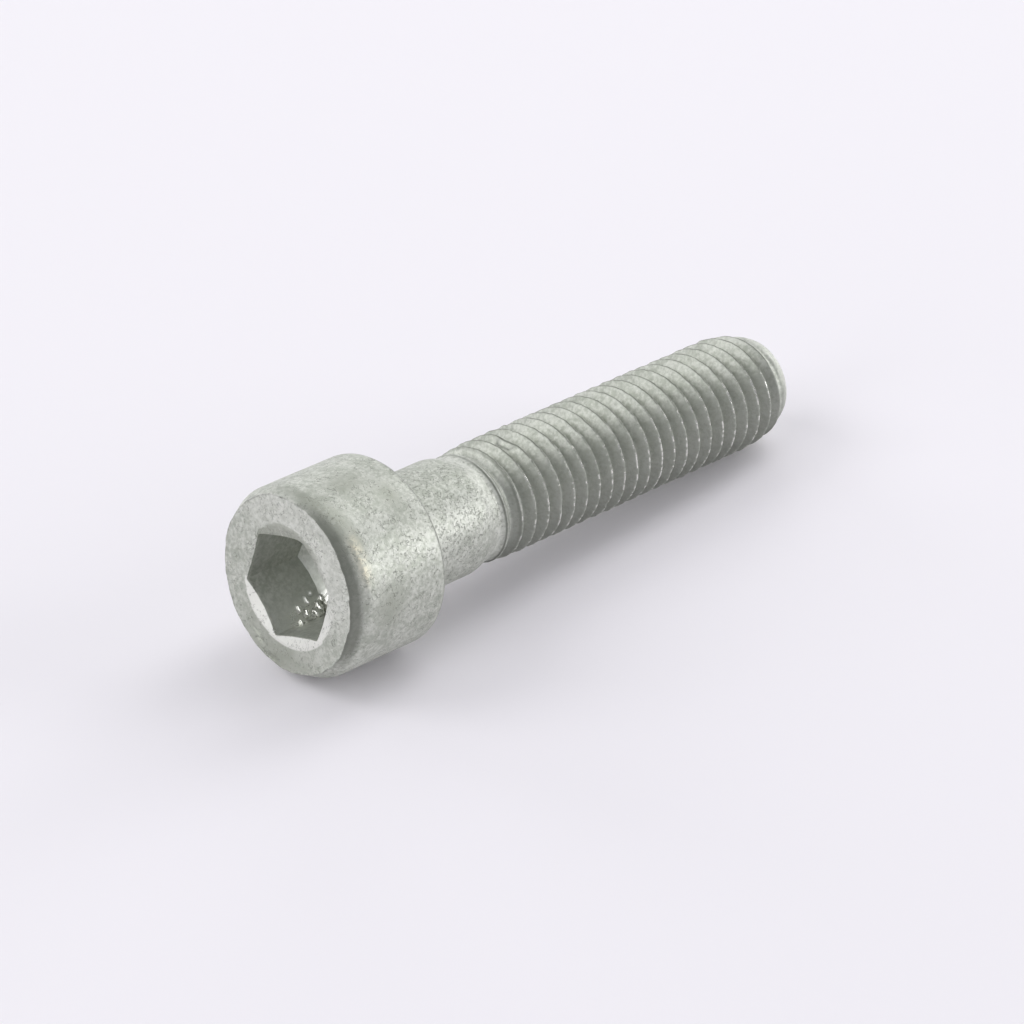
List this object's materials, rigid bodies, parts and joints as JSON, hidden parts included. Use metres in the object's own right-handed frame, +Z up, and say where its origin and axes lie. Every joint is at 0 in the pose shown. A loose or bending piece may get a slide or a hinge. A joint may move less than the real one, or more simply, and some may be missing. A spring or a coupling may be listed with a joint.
{
  "type": "hex socket cap screw",
  "caption": "Metric cap screw with a round head, a hex drive socket, a plain shank and a right-hand thread, lying at rest.",
  "frame": {"origin": "on the surface that the screw lies on, under the middle of its bounding box", "axes": "+X from the head towards the tip, +Z up; the screw's own axis falls 4.17 degrees towards the tip, because the rim of the head and the end of the thread both touch the surface"},
  "size_m": [0.0554, 0.0158, 0.0164],
  "materials": {
    "zinc_coated_steel": "matt zinc coating, slightly mottled and worn at the edges"
  },
  "bodies": {
    "root": {"cap_screw": "zinc_coated_steel"}
  },
  "joints": []
}
